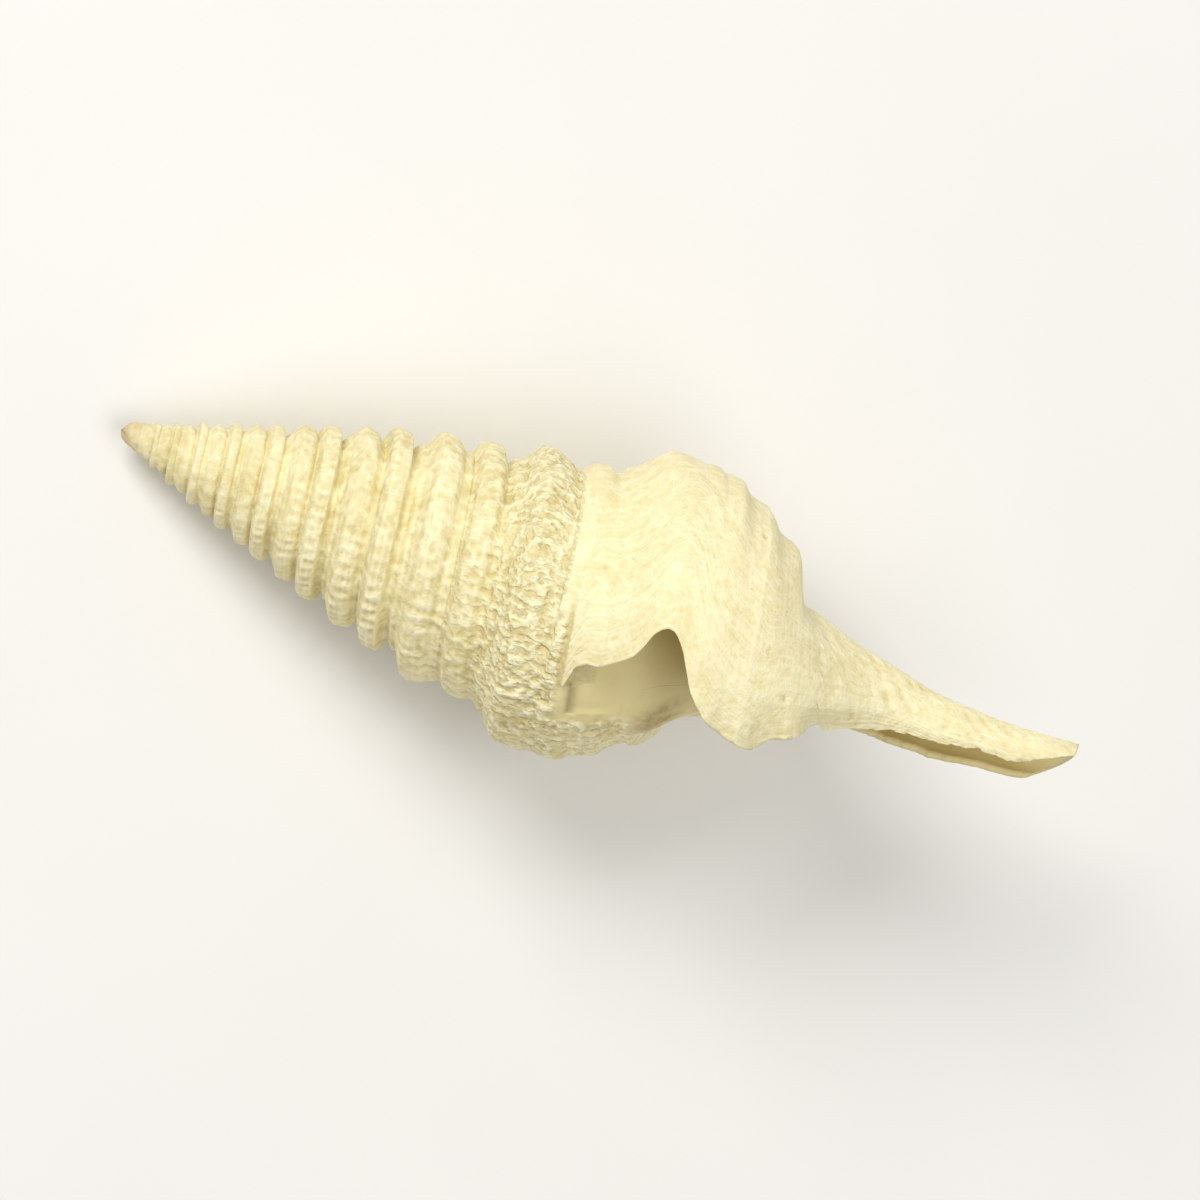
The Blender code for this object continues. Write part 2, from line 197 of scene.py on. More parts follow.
# The free edge of the lip, as turns at places across the last whorl, and the canal's two edges.
LIP_EDGE = [
    (0.845, 123.0),
    (0.868, 123.5),
    (0.876, 123.0),
    (0.882, 118.5),
    (0.890, 113.0),
    (0.907, 110.8),
    (0.927, 110.0),
    (0.943, 107.0),
    (0.961, 104.0),
    (0.982, 100.0),
    (0.996, 95.5),
    (1.007, 91.0),
    (1.020, 88.6),
    (1.030, 87.8),
    (1.040, 88.2),
    (1.049, 89.8),
    (1.061, 93.2),
    (1.072, 98.0),
    (1.085, 104.0),
    (1.100, 108.2),
    (1.115, 111.6),
    (1.134, 115.0),
    (1.159, 118.6),
    (1.172, 119.4),
    (1.186, 121.2),
    (1.198, 122.8),
    (1.210, 121.4),
    (1.224, 118.6),
    (1.244, 117.8),
    (1.269, 117.5),
    (1.292, 117.5),
]
CANAL_NEAR_EDGE = [
    (36.6 * MM, 116.5),
    (37.8 * MM, 119.5),
    (38.8 * MM, 122.0),
    (39.6 * MM, 122.5),
    (40.3 * MM, 120.0),
    (41.7 * MM, 123.0),
    (42.7 * MM, 121.0),
    (43.7 * MM, 119.0),
    (44.9 * MM, 114.0),
    (46.2 * MM, 111.0),
    (46.9 * MM, 104.0),
    (47.3 * MM, 108.0),
    (48.4 * MM, 111.5),
    (49.4 * MM, 109.0),
    (49.9 * MM, 92.0),
    (50.6 * MM, 78.0),
    (51.4 * MM, 60.0),
]
CANAL_FAR_EDGE = [
    (37.0 * MM, 150.0),
    (38.8 * MM, 176.0),
    (40.3 * MM, 190.0),
    (41.7 * MM, 196.0),
    (43.0 * MM, 193.0),
    (44.2 * MM, 198.0),
    (45.6 * MM, 193.0),
    (47.2 * MM, 198.0),
    (48.4 * MM, 192.0),
    (49.6 * MM, 199.0),
    (51.4 * MM, 194.0),
]

# The canal's edges are ragged, in degrees, and the gutter deepens and rounds along these stretches.
EDGE_RIPPLE = 1.3
FAR_RIPPLE = 1.3
RIPPLE_SPACING = (0.17 * MM, 0.07 * MM)
RIPPLE_STRETCH = (40.0 * MM, 42.5 * MM)
PAST_CUT_TURN = 4.0
GUTTER_STRETCH = (39.0 * MM, 53.0 * MM, 0.1 * MM)
GUTTER_DEPTH = (0.5 * MM, 1.5 * MM)
DEEPENING = (39.0 * MM, 41.0 * MM)
TUBE_STRETCH = (39.3 * MM, 42.8 * MM)
GUTTER_BEYOND = 2.0 * MM

# The wall and the hollow.
WALL_GROWTH = 0.25 * MM
WALL_GROWTH_TURN = 90.0
CANAL_WALL = 0.33 * MM
LEAST_WALL = 0.30 * MM
GLAZE_DEPTH = 0.12 * MM
GLAZE_ROUNDING = 0.008
GLAZE_EDGE = (118.0, 0.015 * MM)
LIP_FACE_DEPTH = 0.90 * MM
HOLLOW_SHARE = [
    (0.880, 0.735),
    (0.925, 0.745),
    (0.965, 0.865),
    (1.000, 0.955),
    (1.045, 0.960),
    (1.100, 0.945),
    (1.150, 0.870),
    (1.200, 0.790),
    (1.236, 0.690),
    (1.254, 0.590),
    (1.266, 0.420),
]
MOUTH_FIRST = 0.884
HOLLOW_TURNS_BACK = 2.6
HOLLOW_LOOPS = 240
HOLLOW_FRONT = 41.5 * MM
MOUTH_STRETCH = (20.0, 80.0)
BEND_START = 60.0
LEAST_ROOM = 0.05 * MM
FRONT_ROOM = 0.4 * MM
FLOOR_REACH = 1.2 * MM
GLAZE_END_TURN = 143.0
GLAZE_END = [
    (27.0 * MM, 138.0),
    (29.5 * MM, 139.0),
    (31.3 * MM, 152.0),
    (34.0 * MM, 160.0),
    (36.5 * MM, 172.0),
    (40.0 * MM, 200.0),
    (42.0 * MM, 206.0),
]

# How the shell rests, as the part does: its slope, and where its own origin stands.
REST_RISE = 14.7
REST_PLACE = (-25.774 * MM, -0.304 * MM, 1.198 * MM)

# How finely the surface is drawn, and the block under the floor that cuts its flats.
COLUMNS = 400
ACROSS_STEP = 0.005
PLACE_STEP = 0.12 * MM
BODY_TRIANGLES = 155000
GROUND_SIZE = (80 * MM, 40 * MM, 10 * MM)

# The camera: what it looks at in the shell's own frame, how far the photograph's whole width
# reaches there, and how the shell's axis dips in the picture.
AIM = (26.76 * MM, 0.0, 0.39 * MM)
PICTURE_WIDTH = 59.4 * MM
AXIS_DIP = 20.5
CAMERA_DISTANCE = 1.2
SENSOR_WIDTH = 36.0

# The lights: the direction in the view, the distance, the size, the power and the tint.
KEY_LIGHT = ((-0.22, 0.58, 0.88), 0.5, 0.22, 1.60, (1.0, 0.98, 0.95))
FILL_LIGHT = ((0.42, -0.30, 0.95), 0.6, 0.4, 1.15, (1.0, 0.99, 0.97))
WORLD_COLOUR = (1.0, 0.99, 0.97, 1.0)
WORLD_STRENGTH = 0.44
FLOOR_SIZE = 1.5


def smooth_step(x):
    """0 below 0, 1 above 1, and an even slope between."""
    x = np.clip(x, 0.0, 1.0)
    return x * x * (3 - 2 * x)


def ramp(x, start, end):
    """0 up to a start, 1 past an end, and an even slope between."""
    return smooth_step((x - start) / (end - start))


def mix(a, b, share):
    """The value a given share of the way from a to b."""
    return a + (b - a) * share


def along(table, x):
    """The value at x of a table of pairs, straight between them and level beyond its ends."""
    places, values = zip(*table)
    return np.interp(x, places, values)


def keel_place(turn):
    """How far along the axis the keel is at a turn."""
    return KEEL_PLACE * GROWTH_A_TURN ** (turn / 360)


def keel_radius(turn):
    """How far from the axis the keel is at a turn."""
    place = keel_place(turn)
    return place * along(SPIRE_OUTLINE, place)


def whorl_shares(corner, turn):
    """One corner of the whorl's profile at an array of turns."""
    return np.interp(turn, STATIONS, corner[1:])


def outer_share(across, turn, rounding):
    """The outside's radius across a whorl, as a share of the keel's, with its corners rounded."""
    across, turn = np.broadcast_arrays(np.asarray(across, float), np.asarray(turn, float))
    growth = keel_radius(turn + 360) / keel_radius(turn)
    corners = [corner[0] for corner in WHORL] + [SUTURE * GROWTH_A_TURN]
    shares = [whorl_shares(corner, turn) for corner in WHORL]
    next_suture = whorl_shares(WHORL[0], turn + 360) * growth
    past_first = smooth_step((turn - (LIP_TURN - 360)) / LIP_BLEND_TURN)
    shares.append(mix(next_suture, PAST_KEEL, past_first))
    for corner, scalloped, even in BASE + NECK:
        corners.append(corner)
        shares.append(mix(scalloped, even, along(EVEN_SIDE, turn)))
    corners, shares = np.array(corners), np.array(shares)

    def straight(at):
        i = np.clip(np.searchsorted(corners, at, side="right") - 1, 0, len(corners) - 2)
        past = np.clip((at - corners[i]) / (corners[i + 1] - corners[i]), 0, 1)
        low = np.take_along_axis(shares, i[None], axis=0)[0]
        high = np.take_along_axis(shares, i[None] + 1, axis=0)[0]
        return mix(low, high, past)

    samples = ROUNDING_SAMPLES if rounding == ROUNDING else GLAZE_SAMPLES
    offsets = np.linspace(-rounding, rounding, samples)
    share = sum(straight(across + offset) for offset in offsets) / len(offsets)
    worn = 1 - ramp(turn, *WORN_TIP)
    share = mix(share, WORN_SHARE, MOST_WORN * worn)
    swell = along(NECK_SWELL, turn) * along(NECK_SWELL_ACROSS, across)
    return share * (1 + swell)


def foot_shift(across, turn):
    """How far the foot of the base stands back on the near side, as a change of across."""
    return along(FOOT_SHIFT, turn) * smooth_step((across - FOOT_START) / FOOT_REACH)


def outer_radius(turn, place, rounding=ROUNDING):
    """The outside's radius at a turn and a place, from the whorl into the canal, without relief."""
    across = place / keel_place(turn)
    whorl = keel_radius(turn) * outer_share(across + foot_shift(across, turn), turn, rounding)
    whorl = mix(along(TIP_RADIUS, place), whorl, ramp(turn, *SMOOTH_TIP))
    return mix(whorl, along(CANAL_RADIUS, place), ramp(place, *CANAL_BLEND))


def points(turn, place, radius):
    """Points in the shell's own frame, one row each."""
    angle = np.radians(turn)
    rows = (place, -radius * np.sin(angle), radius * np.cos(angle) + along(BOW, place))
    return np.stack(np.broadcast_arrays(*rows), axis=-1)


def canal_end_place(turn):
    """Where the canal's slanting end is at a turn: furthest along at the back."""
    underside = -np.cos(np.radians(turn))
    return CANAL_END - CANAL_END_SLANT * np.clip((underside + 0.5) / 1.5, 0, 1) ** 1.5


# Relief on the outside.

# The sizes of the noise's lumps. The beads, threads and grain are stronger on the mouth's side and
# where the surface is less worn. Heights change with the turn or the place across.
BROAD_LUMPS = 2.2
MIDDLE_LUMPS = 0.75
FINE_LUMPS = 0.38
GRUB_LUMPS = 0.33
VEIN_LUMPS = 0.60
BEADED_LUMPS = 0.28
RELIEF_SIDE = [
    (0.0, 0.25),
    (50.0, 0.30),
    (95.0, 0.8),
    (140.0, 1.0),
    (220.0, 1.0),
    (300.0, 0.5),
    (360.0, 0.25),
]
FULL_SIZE = 5 * MM
SMALLEST = 0.25
BEADS_A_TURN = 52.0
BEAD_LEAN = 0.12
BEAD_CROWDING = 0.185
BEAD_HEIGHT = [(-2200.0, 0.010), (-1500.0, 0.035), (-300.0, 0.050), (-200.0, 0.030), (-60.0, 0.006)]
THREAD_SPACING = 0.0205
THREAD_HEIGHT = [(-2200.0, 0.0), (-1400.0, 0.020), (-240.0, 0.030), (-120.0, 0.010), (LIP_TURN, 0.007)]
GRAIN_HEIGHT = [(-3200.0, 0.075), (-2000.0, 0.060), (-240.0, 0.055), (-150.0, 0.012)]
# The eroded band round the whorl before, and the slit between it and the lip.
ROUGH_HEIGHT = [
    (-760.0, 0.00),
    (-560.0, 0.020),
    (-440.0, 0.035),
    (-350.0, 0.085),
    (-195.0, 0.095),
    (-140.0, 0.050),
    (-80.0, 0.0),
]
MOST_ROUGH = 0.095
ROUGH_ACROSS = [(0.845, 0.45), (0.90, 0.40), (0.95, 0.8), (1.00, 1.0), (1.20, 1.0), (1.30, 0.6), (1.6, 0.3)]
WIDE_GRUBS = np.array([0.6, 1.0, 1.0])
SLIT_ACROSS = 0.866
SLIT_WIDTH = 0.005
SLIT_DEPTH = 0.30
SLIT_START = (88.0, 100.0)
SLIT_BLEND = 0.004
# The cords round the base and the neck, as a place across and a height.
BASE_CORDS = [(1.125, 0.015), (1.155, 0.012), (1.175, 0.045), (1.218, 0.018), (1.247, 0.018)]
BASE_CORD_WIDTH = 0.006
NECK_CORD_SPACING = 0.036
NECK_CORD_HEIGHT = [(1.27, 0.0), (1.31, 0.060), (1.50, 0.060), (1.80, 0.035)]
# Growth lines, the wrinkles above the notch, and where the lip once stood, as a turn and a height.
LINE_SPACING = 1.9
LINE_HEIGHT = [(-240.0, 0.010), (20.0, 0.008), (90.0, 0.018), (LIP_TURN, 0.030)]
LAST_WHORL_STRETCH = (-200.0, -140.0)
WRINKLE_SPACING = 2.4
WRINKLE_HEIGHT = [(88.0, 0.0), (104.0, 0.045), (LIP_TURN, 0.060)]
OLD_LIPS = [(100.0, 0.050), (91.0, 0.020), (62.0, 0.020), (18.0, 0.025), (-60.0, 0.03), (-150.0, 0.05)]
# A patch of small beads on the neck: its turn, place, radius and height. The small pits are listed
# as a turn, a place, a radius and a depth.
BEAD_PATCH = (68.8, 37.9 * MM, 1.1, 0.060)
NECK_GRAIN = 0.025
PITS = [
    (39.1, 33.32 * MM, 0.16, 0.12),
    (100.5, 36.94 * MM, 0.17, 0.15),
    (72.4, 26.50 * MM, 0.14, 0.07),
    (56.6, 42.21 * MM, 0.13, 0.08),
    (83.3, 44.91 * MM, 0.12, 0.07),
]

# Where the mouth's glaze begins across the whorl before, and how softly it begins and ends.
GLAZE_ACROSS = (1.100, 1.130)
GLAZE_FADE_TURN = 8.0


def lumps(at, size, seed):
    """Smooth noise from about -1 to 1 at an array of points, with lumps of a size."""
    shift = Vector((17.3, -9.1, 5.7)) * seed
    return np.array([noise.noise(Vector(p) / size + shift) for p in at.tolist()])


def wave(x, spacing, sharpness):
    """Even ridges from 0 to 1 along x."""
    return (0.5 + 0.5 * np.cos(2 * np.pi * x / spacing)) ** sharpness


def ridge(x, middle, width):
    """One ridge from 0 to 1 along x."""
    return np.exp(-(((x - middle) / width) ** 2))


def growth_turn(turn, across):
    """The turn at which the growing edge passed: it follows the shape of the lip's notch."""
    return turn - (along(LIP_EDGE, across) - LIP_TURN)


def roughness(turn, across):
    """How high the eroded surface's relief is: all round the whorl before, up to the lip's slit."""
    before_slit = smooth_step((SLIT_ACROSS - across) / SLIT_BLEND) * ramp(turn, *SLIT_START)
    return np.maximum(along(ROUGH_HEIGHT, turn) * along(ROUGH_ACROSS, across), MOST_ROUGH * before_slit)


def under_glaze(turn, place):
    """0 where the mouth's glaze covers the whorl before, and 1 elsewhere."""
    across = place / keel_place(turn)
    past_glaze = turn + 360 - along(GLAZE_END, place)
    return 1 - ramp(across, *GLAZE_ACROSS) * (1 - smooth_step(past_glaze / GLAZE_FADE_TURN))


def relief(turn, place):
    """How far the fine surface stands above the plain one, in millimetres."""
    across = place / keel_place(turn)
    plain = points(turn, place, outer_radius(turn, place)) / MM
    growth = growth_turn(turn, across)
    side = along(RELIEF_SIDE, np.mod(turn, 360))
    broad = lumps(plain, BROAD_LUMPS, 1)
    middle = lumps(plain, MIDDLE_LUMPS, 2)
    fine = lumps(plain, FINE_LUMPS, 3)
    size = np.clip(keel_radius(turn) / FULL_SIZE, SMALLEST, 1)
    worn = smooth_step(0.55 + 1.1 * broad)

    bead_turn = mix(turn, growth, BEAD_LEAN)
    crowding = GROWTH_A_TURN ** (BEAD_CROWDING * bead_turn / 360)
    beads_past = BEADS_A_TURN * crowding / (BEAD_CROWDING * math.log(GROWTH_A_TURN))
    beads = wave(beads_past + 0.18 * broad + 0.12 * middle, 1.0, 1.5) - 0.3
    on_keel = smooth_step((across - 0.95) / 0.03)
    on_cord = smooth_step((0.905 - across) / 0.008) * smooth_step((across - 0.852) / 0.008)
    banded = np.maximum(on_keel, on_cord)
    height = beads * along(BEAD_HEIGHT, turn) * side * banded * mix(0.3, 1.2, worn) * 1.7

    threads = wave(across + 0.0015 * middle, THREAD_SPACING, 1.3) - 0.4
    on_whorl = smooth_step((1.29 - across) / 0.02)
    height += threads * along(THREAD_HEIGHT, turn) * side * on_whorl * 1.8
    grain = smooth_step(0.5 + 1.3 * fine + 0.6 * middle) - 0.5
    height += along(GRAIN_HEIGHT, turn) * grain / size * np.clip(size, 0.6, 1)

    grubs = lumps(plain * WIDE_GRUBS, GRUB_LUMPS, 4)
    blobs = smooth_step(0.5 + 1.7 * grubs + 0.5 * middle) - 0.5
    veins = np.clip(1 - 5.0 * np.abs(lumps(plain * WIDE_GRUBS, VEIN_LUMPS, 5) + 0.25 * fine), 0, 1)
    rough = roughness(turn, across) * mix(0.6, 1.1, worn)
    height += rough * (blobs * 1.2 - 0.6 * veins)

    for middle_across, cord_height in BASE_CORDS:
        beaded = 0.75 + 0.5 * wave(growth + 2 * fine, 2.3, 1.0)
        height += ridge(across, middle_across, BASE_CORD_WIDTH) * cord_height * beaded
    neck_cords = wave(across + 0.010 * broad, NECK_CORD_SPACING, 1.0) - 0.5
    height += (neck_cords * worn + 0.5 * middle) * along(NECK_CORD_HEIGHT, across)

    last_whorl = ramp(turn, *LAST_WHORL_STRETCH)
    lines = wave(growth + 1.6 * broad, LINE_SPACING, 0.8) - 0.5
    lines += 0.7 * (wave(growth + 2.5 * middle, LINE_SPACING * 2.7, 0.8) - 0.5)
    height += lines * along(LINE_HEIGHT, growth) * last_whorl
    above_notch = smooth_step((0.965 - across) / 0.03)
    wrinkles = wave(growth + 1.4 * middle, WRINKLE_SPACING, 0.8) - 0.5
    height += wrinkles * along(WRINKLE_HEIGHT, growth) * above_notch * last_whorl
    for old_turn, step in OLD_LIPS:
        past = (growth + 1.2 * broad - old_turn) / 1.5
        height += step * (smooth_step(past + 0.5) - smooth_step(past / 9)) * last_whorl

    height -= SLIT_DEPTH * ridge(across, SLIT_ACROSS, SLIT_WIDTH) * ramp(turn, *SLIT_START)

    for pit_turn, pit_place, pit_radius, depth in PITS:
        pit = points(np.array([pit_turn]), np.array([pit_place]), outer_radius(pit_turn, pit_place))
        distance = np.linalg.norm(plain - pit / MM, axis=1)
        height -= depth * ridge(distance, 0.0, pit_radius)

    patch_turn, patch_place, patch_radius, patch_height = BEAD_PATCH
    patch = points(np.array([patch_turn]), np.array([patch_place]), outer_radius(patch_turn, patch_place))
    near_patch = ridge(np.linalg.norm(plain - patch / MM, axis=1), 0.0, patch_radius)
    beaded = smooth_step(0.5 + 2.0 * lumps(plain, BEADED_LUMPS, 7))
    on_neck = ramp(across, 1.25, 1.30)
    height += beaded * (patch_height * near_patch + NECK_GRAIN * on_neck)
    height += 0.010 * fine
    return height * size * under_glaze(turn, place)


# The body and its cutters.


def spaced(corners, step):
    """Values from the first corner up to the last through them all, no further apart than step."""
    values = []
    for low, high in zip(corners, corners[1:]):
        count = math.ceil((high - low) / step)
        values += [low + (high - low) * i / count for i in range(count)]
    return values


def strip_turns(start, lip):
    """The turns of the last strip's columns, drawn to the row's own start and lip edge."""
    share = np.arange(COLUMNS + 1) / COLUMNS
    even = LIP_TURN - 360 * (1 - share)
    at_start = smooth_step((0.5 - share) / 0.5)
    at_lip = smooth_step((share - 0.6) / 0.4)
    return even + at_start * (start - (LIP_TURN - 360)) + at_lip * (lip - LIP_TURN)


def last_strip_rows(whorl):
    """The turns and places of the last whorl's rows, from the suture to the end of the canal."""
    first = LIP_TURN - 360
    base = spaced([SUTURE * GROWTH_A_TURN] + [corner[0] for corner in BASE], ACROSS_STEP)
    base.append(BASE[-1][0])
    rows = []
    for across in whorl + base:
        turns = strip_turns(first, along(LIP_EDGE, across))
        rows.append((turns, across * keel_place(turns)))
    foot = BASE[-1][0]
    neck_step = PLACE_STEP / (CANAL_START - foot * keel_place(LIP_TURN))
    for share in spaced([0.0, 1.0], neck_step)[1:] + [1.0]:
        lip_place = mix(foot * keel_place(LIP_TURN), CANAL_START, share)
        far = along(CANAL_FAR_EDGE, CANAL_START) - PAST_CUT_TURN - 360
        near = along(CANAL_NEAR_EDGE, lip_place) + PAST_CUT_TURN * share
        turns = strip_turns(mix(first, far, smooth_step(share)), near)
        rows.append((turns, mix(foot * keel_place(turns), CANAL_START, share)))
    for share in spaced([0.0, 1.0], PLACE_STEP / (CANAL_END - CANAL_START))[1:] + [1.0]:
        far = along(CANAL_FAR_EDGE, CANAL_END) - PAST_CUT_TURN - 360
        near = along(CANAL_NEAR_EDGE, mix(CANAL_START, CANAL_END, share)) + PAST_CUT_TURN
        turns = strip_turns(far, near)
        rows.append((turns, mix(CANAL_START, canal_end_place(turns), share)))
    return rows, len(whorl) + len(base)


def add_fan(mesh, ring, centre):
    """Close a ring of vertices with triangles to one vertex."""
    for a, b in zip(ring, ring[1:] + ring[:1]):
        mesh.faces.new((a, b, centre))


def add_zip(mesh, left, right):
    """Join two chains of vertices that start at the same vertex with triangles."""
    mesh.faces.new((left[0], left[1], right[1]))
    i = j = 1
    while i < len(left) - 1 or j < len(right) - 1:
        if j == len(right) - 1:
            step_left = True
        elif i == len(left) - 1:
            step_left = False
        else:
            across_left = (left[i + 1].co - right[j].co).length
            across_right = (left[i].co - right[j + 1].co).length
            step_left = across_left < across_right
        tip = left[i + 1] if step_left else right[j + 1]
        mesh.faces.new((left[i], right[j], tip))
        if step_left:
            i += 1
        else:
            j += 1


def body_mesh():
    """The shell's fine outside as one closed body, its mouth and canal still closed over."""
    whorl = spaced([corner[0] for corner in WHORL] + [SUTURE * GROWTH_A_TURN], ACROSS_STEP)
    rows = []
    for whorl_number in range(1, WHORLS):
        start = LIP_TURN - 360 * (WHORLS + 1 - whorl_number)
        turns = start + 360 * np.arange(COLUMNS + 1) / COLUMNS
        rows += [(turns, across * keel_place(turns)) for across in whorl]
    shared_rows = len(rows)
    last_rows, faced = last_strip_rows(whorl)
    rows += last_rows

    turns = np.array([row[0] for row in rows])
    places = np.array([row[1] for row in rows])
    flat_turns, flat_places = turns.ravel(), places.ravel()
    radii = outer_radius(flat_turns, flat_places) + relief(flat_turns, flat_places) * MM
    places_xyz = points(flat_turns, flat_places, radii).reshape(*turns.shape, 3)

    mesh = bmesh.new()
    grid = [[mesh.verts.new(co) for co in row[:-1]] for row in places_xyz.tolist()]
    for number, row in enumerate(grid):
        if number <= shared_rows:
            row.append(grid[number + len(whorl)][0])
        else:
            row.append(mesh.verts.new(places_xyz[number, -1]))
    for row, next_row in zip(grid, grid[1:]):
        for i in range(COLUMNS):
            mesh.faces.new((row[i], row[i + 1], next_row[i + 1], next_row[i]))

    tip_ring = grid[0] + [row[0] for row in reversed(grid[1 : len(whorl)])]
    add_fan(mesh, tip_ring, mesh.verts.new((TIP_PLACE, 0, 0)))

    lip = [row[-1] for row in grid[shared_rows:]]
    wall_edge = [row[0] for row in grid[shared_rows + len(whorl) :]]
    lip_turns = turns[shared_rows + 1 : shared_rows + faced, -1]
    lip_places = places[shared_rows + 1 : shared_rows + faced, -1]
    inner = points(lip_turns, lip_places, outer_radius(lip_turns, lip_places) - LIP_FACE_DEPTH)
    inner_lip = [mesh.verts.new(co) for co in inner.tolist()]
    mesh.faces.new((lip[0], lip[1], inner_lip[0]))
    for i in range(len(inner_lip) - 1):
        mesh.faces.new((lip[i + 1], lip[i + 2], inner_lip[i + 1], inner_lip[i]))
    mesh.faces.new((lip[faced - 1], lip[faced], inner_lip[-1]))
    add_zip(mesh, [lip[0], *inner_lip, *lip[faced:]], wall_edge)

    end_ring = grid[-1]
    middle = sum((v.co for v in end_ring), Vector()) / len(end_ring)
    add_fan(mesh, end_ring, mesh.verts.new(middle))
    return mesh


def hollow_loop(turn):
    """The outline of the hollow inside the whorl at a turn, from the suture round to the suture."""
    inside = smooth_step((LIP_TURN - turn) / WALL_GROWTH_TURN)
    thinner = WALL_GROWTH * inside
    to_mouth = ramp(turn, *MOUTH_STRETCH)
    bend = ramp(turn, BEND_START, GLAZE_END_TURN)

    def bent(place):
        return turn + bend * (along(GLAZE_END, place) - GLAZE_END_TURN)

    rounding = mix(ROUNDING, GLAZE_ROUNDING, to_mouth)

    keel = keel_place(turn)
    first = mix(HOLLOW_SHARE[0][0], MOUTH_FIRST, to_mouth) * keel
    last = HOLLOW_SHARE[-1][0] * keel
    edge_turn, edge_depth = GLAZE_EDGE
    depth = mix(GLAZE_DEPTH, edge_depth, ramp(turn, edge_turn, GLAZE_END_TURN))

    def floor_radius(place):
        from_suture = mix(1.0, smooth_step((place - first) / FLOOR_REACH), to_mouth)
        return outer_radius(bent(place) - 360, place, rounding) - mix(edge_depth, depth, from_suture)

    front = mix(last + 0.5 * MM, HOLLOW_FRONT, to_mouth)
    roof_places = mix(first, last, np.linspace(0.0, 1.0, 31)[1:])
    wall = LEAST_WALL + 0.5 * thinner
    under_keel = keel_radius(bent(roof_places)) * along(HOLLOW_SHARE, roof_places / keel) - thinner
    roof = np.minimum(under_keel, outer_radius(bent(roof_places), roof_places) - wall)
    roof = np.maximum(roof, floor_radius(roof_places) + LEAST_ROOM)

    wall = CANAL_WALL + 0.3 * MM * (1 - to_mouth)
    neck_places = mix(last, front, np.linspace(0.0, 1.0, 7)[1:])
    neck_roof = outer_radius(bent(neck_places), neck_places) - wall
    neck_roof = np.minimum.accumulate(np.minimum(neck_roof, roof[-1]))

    floor_places = mix(front, first, np.linspace(0.0, 1.0, 25))
    floor = floor_radius(floor_places)
    floor[0] = min(floor[0], neck_roof[-1] - FRONT_ROOM)
    place = np.concatenate((roof_places, neck_places, floor_places))
    radius = np.concatenate((roof, neck_roof, floor))
    return points(bent(place), place, radius), len(roof_places) + len(neck_places)


def canal_loop(place):
    """The outline of the canal's gutter at a place, open through the slit between its edges."""
    long_ripple, short_ripple = (place / spacing for spacing in RIPPLE_SPACING)
    ragged = EDGE_RIPPLE * (math.sin(long_ripple) + 0.6 * math.sin(short_ripple + 1.0))
    ragged *= ramp(place, *RIPPLE_STRETCH)
    near = along(CANAL_NEAR_EDGE, place) + ragged
    far = along(CANAL_FAR_EDGE, place) + FAR_RIPPLE * ragged
    near_radius = outer_radius(near, place) - CANAL_WALL
    far_radius = outer_radius(far - 360, place) - CANAL_WALL
    near_corner = points(near, place, near_radius)
    far_corner = points(far, place, far_radius)
    centre = (near_corner + far_corner) / 2
    half = (far_corner - near_corner) / 2
    inward = points((near + far) / 2 + 180, place, 1.0) - points(0.0, place, 0.0)
    inward /= np.linalg.norm(inward)
    depth = mix(*GUTTER_DEPTH, ramp(place, *DEEPENING))
    roundness = ramp(place, *TUBE_STRETCH)
    loop = []
    for share in np.linspace(0.0, 1.0, 25):
        angle = math.pi * share
        bowl = centre - half * math.cos(angle) + inward * depth * math.sin(angle)
        tube = points(mix(near, far - 360, share), place, mix(near_radius, far_radius, share))
        loop.append(mix(bowl, tube, roundness))
    front = len(loop) // 2
    for share in np.linspace(0.0, 1.0, 7):
        radius = mix(far_radius, near_radius, share) + CANAL_WALL + GUTTER_BEYOND
        loop.append(points(mix(far, near, share), place, radius))
    return np.array(loop), front


def loft(loops, front):
    """A closed body through a run of loops, its ends closed between the loop's two sides."""
    mesh = bmesh.new()
    rings = [[mesh.verts.new(co) for co in loop.tolist()] for loop in loops]
    for ring, next_ring in zip(rings, rings[1:]):
        count = len(ring)
        for i in range(count):
            j = (i + 1) % count
            mesh.faces.new((ring[i], ring[j], next_ring[j], next_ring[i]))
    for ring in (rings[0], rings[-1]):
        add_zip(mesh, [ring[-1], *ring[: front + 1]], [*reversed(ring[front + 1 :])])
    return mesh


def add_object(name, mesh):
    """An object from a mesh whose faces are turned outwards and cut into triangles."""
    bmesh.ops.triangulate(mesh, faces=mesh.faces[:])
    bmesh.ops.recalc_face_normals(mesh, faces=mesh.faces[:])
    data = bpy.data.meshes.new(name)
    mesh.to_mesh(data)
    mesh.free()
    made = bpy.data.objects.new(name, data)
    bpy.context.scene.collection.objects.link(made)
    return made


def mark_inside(data, value):
    """Say whether a body's surface becomes the shell's outside or its inside."""
    stored = data.attributes.new("inside", "FLOAT", "POINT")
    stored.data.foreach_set("value", np.full(len(data.vertices), value, np.float32))


def cut(target, cutter):
    """Cut one body from another."""
    modifier = target.modifiers.new(cutter.name, "BOOLEAN")
    modifier.operation = "DIFFERENCE"
    modifier.solver = "MANIFOLD"
    modifier.object = cutter


def baked(source, name):
    """A mesh of an object as its modifiers leave it."""
    evaluated = source.evaluated_get(bpy.context.evaluated_depsgraph_get())
    data = bpy.data.meshes.new_from_object(evaluated)
    data.name = name
    return data


def rest_matrix():
    """From the shell's own frame to how it rests on the floor."""
    turned = Matrix.Rotation(math.radians(-REST_RISE), 4, "Y") @ Matrix.Rotation(math.radians(-90), 4, "X")
    return Matrix.Translation(REST_PLACE) @ turned


